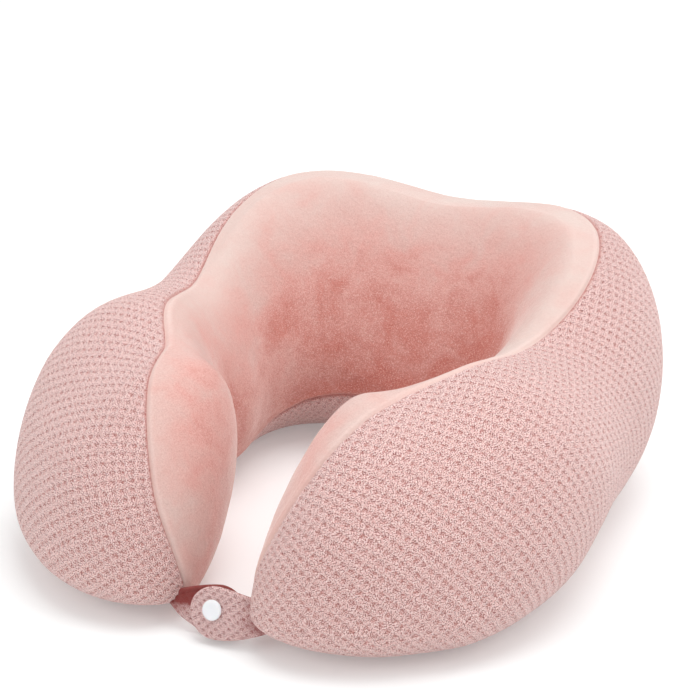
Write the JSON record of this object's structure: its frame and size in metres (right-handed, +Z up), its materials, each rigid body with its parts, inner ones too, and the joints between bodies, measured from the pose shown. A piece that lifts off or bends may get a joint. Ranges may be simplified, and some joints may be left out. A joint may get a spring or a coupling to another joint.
{
  "type": "neck pillow",
  "caption": "U-shaped travel neck pillow with a moulded foam core, a plush and waffle-knit zip cover, and two tabs that snap together across the front.",
  "frame": {"origin": "middle of the pillow's outline on the surface that it lies on", "axes": "+Z up; -Y through the front opening, between the arm tips; +X towards the right arm as seen from the front"},
  "size_m": [0.2924, 0.3125, 0.1341],
  "materials": {
    "foam": "open-cell moulded foam",
    "plush": "short-pile velour",
    "knit": "waffle air-mesh knit",
    "zip_tape": "woven polyester tape",
    "zip": "moulded coil and painted slider",
    "snap": "moulded, satin"
  },
  "bodies": {
    "back": {"foam_core_back": "foam", "plush_panel_back": "plush", "mesh_panel_back_lower": "knit", "mesh_panel_back_upper": "knit", "zip_tape_lower": "zip_tape", "zip_tape_upper": "zip_tape", "zip_teeth_lower": "zip", "zip_teeth_upper": "zip", "zip_stop_left": "zip", "zip_stop_right": "zip"},
    "right_arm": {"foam_core_right_arm": "foam", "plush_panel_right_arm": "plush", "mesh_panel_right_arm": "knit"},
    "left_arm": {"foam_core_left_arm": "foam", "plush_panel_left_arm": "plush", "mesh_panel_left_arm": "knit"},
    "right_tab": {"closure_tab_right": "knit", "snap_cap": "snap", "snap_socket": "snap"},
    "left_tab": {"closure_tab_left": "knit", "snap_stud": "snap", "snap_back_cap": "snap"},
    "zip_slider": {"zip_slider": "zip"},
    "zip_pull": {"zip_pull": "zip"}
  },
  "joints": [
    {"name": "right_arm_flex", "type": "hinge", "parent": "back", "child": "right_arm", "pos_m": [0.1317, 0.0806, 0.05], "axis": [0, 0, 1], "range_deg": [0, 20], "stiffness_Nm_per_rad": 6},
    {"name": "left_arm_flex", "type": "hinge", "parent": "back", "child": "left_arm", "pos_m": [-0.1317, 0.0806, 0.05], "axis": [0, 0, 1], "range_deg": [-20, 0], "stiffness_Nm_per_rad": 6},
    {"name": "right_tab_peel", "type": "hinge", "parent": "right_arm", "child": "right_tab", "pos_m": [0.0217, -0.14537, 0.01582], "axis": [0, 0.3746, 0.9272], "range_deg": [0, 50], "stiffness_Nm_per_rad": 0.002},
    {"name": "left_tab_fold", "type": "hinge", "parent": "left_arm", "child": "left_tab", "pos_m": [-0.0198, -0.13684, 0.01238], "axis": [0, 0.3746, 0.9272], "range_deg": [0, 40], "stiffness_Nm_per_rad": 0.002},
    {"name": "zip_slide", "type": "hinge", "parent": "back", "child": "zip_slider", "pos_m": [0, -0.16549, 0.03], "axis": [0, 0, 1], "range_deg": [0, 21.2]},
    {"name": "zip_pull_flip", "type": "hinge", "parent": "zip_slider", "child": "zip_pull", "pos_m": [0.05943, 0.15206, 0.03], "axis": [0, 0, -1], "range_deg": [0, 150]}
  ],
  "couplings": [
    {"joint": "left_arm_flex", "follows": "right_arm_flex", "ratio": -1}
  ]
}
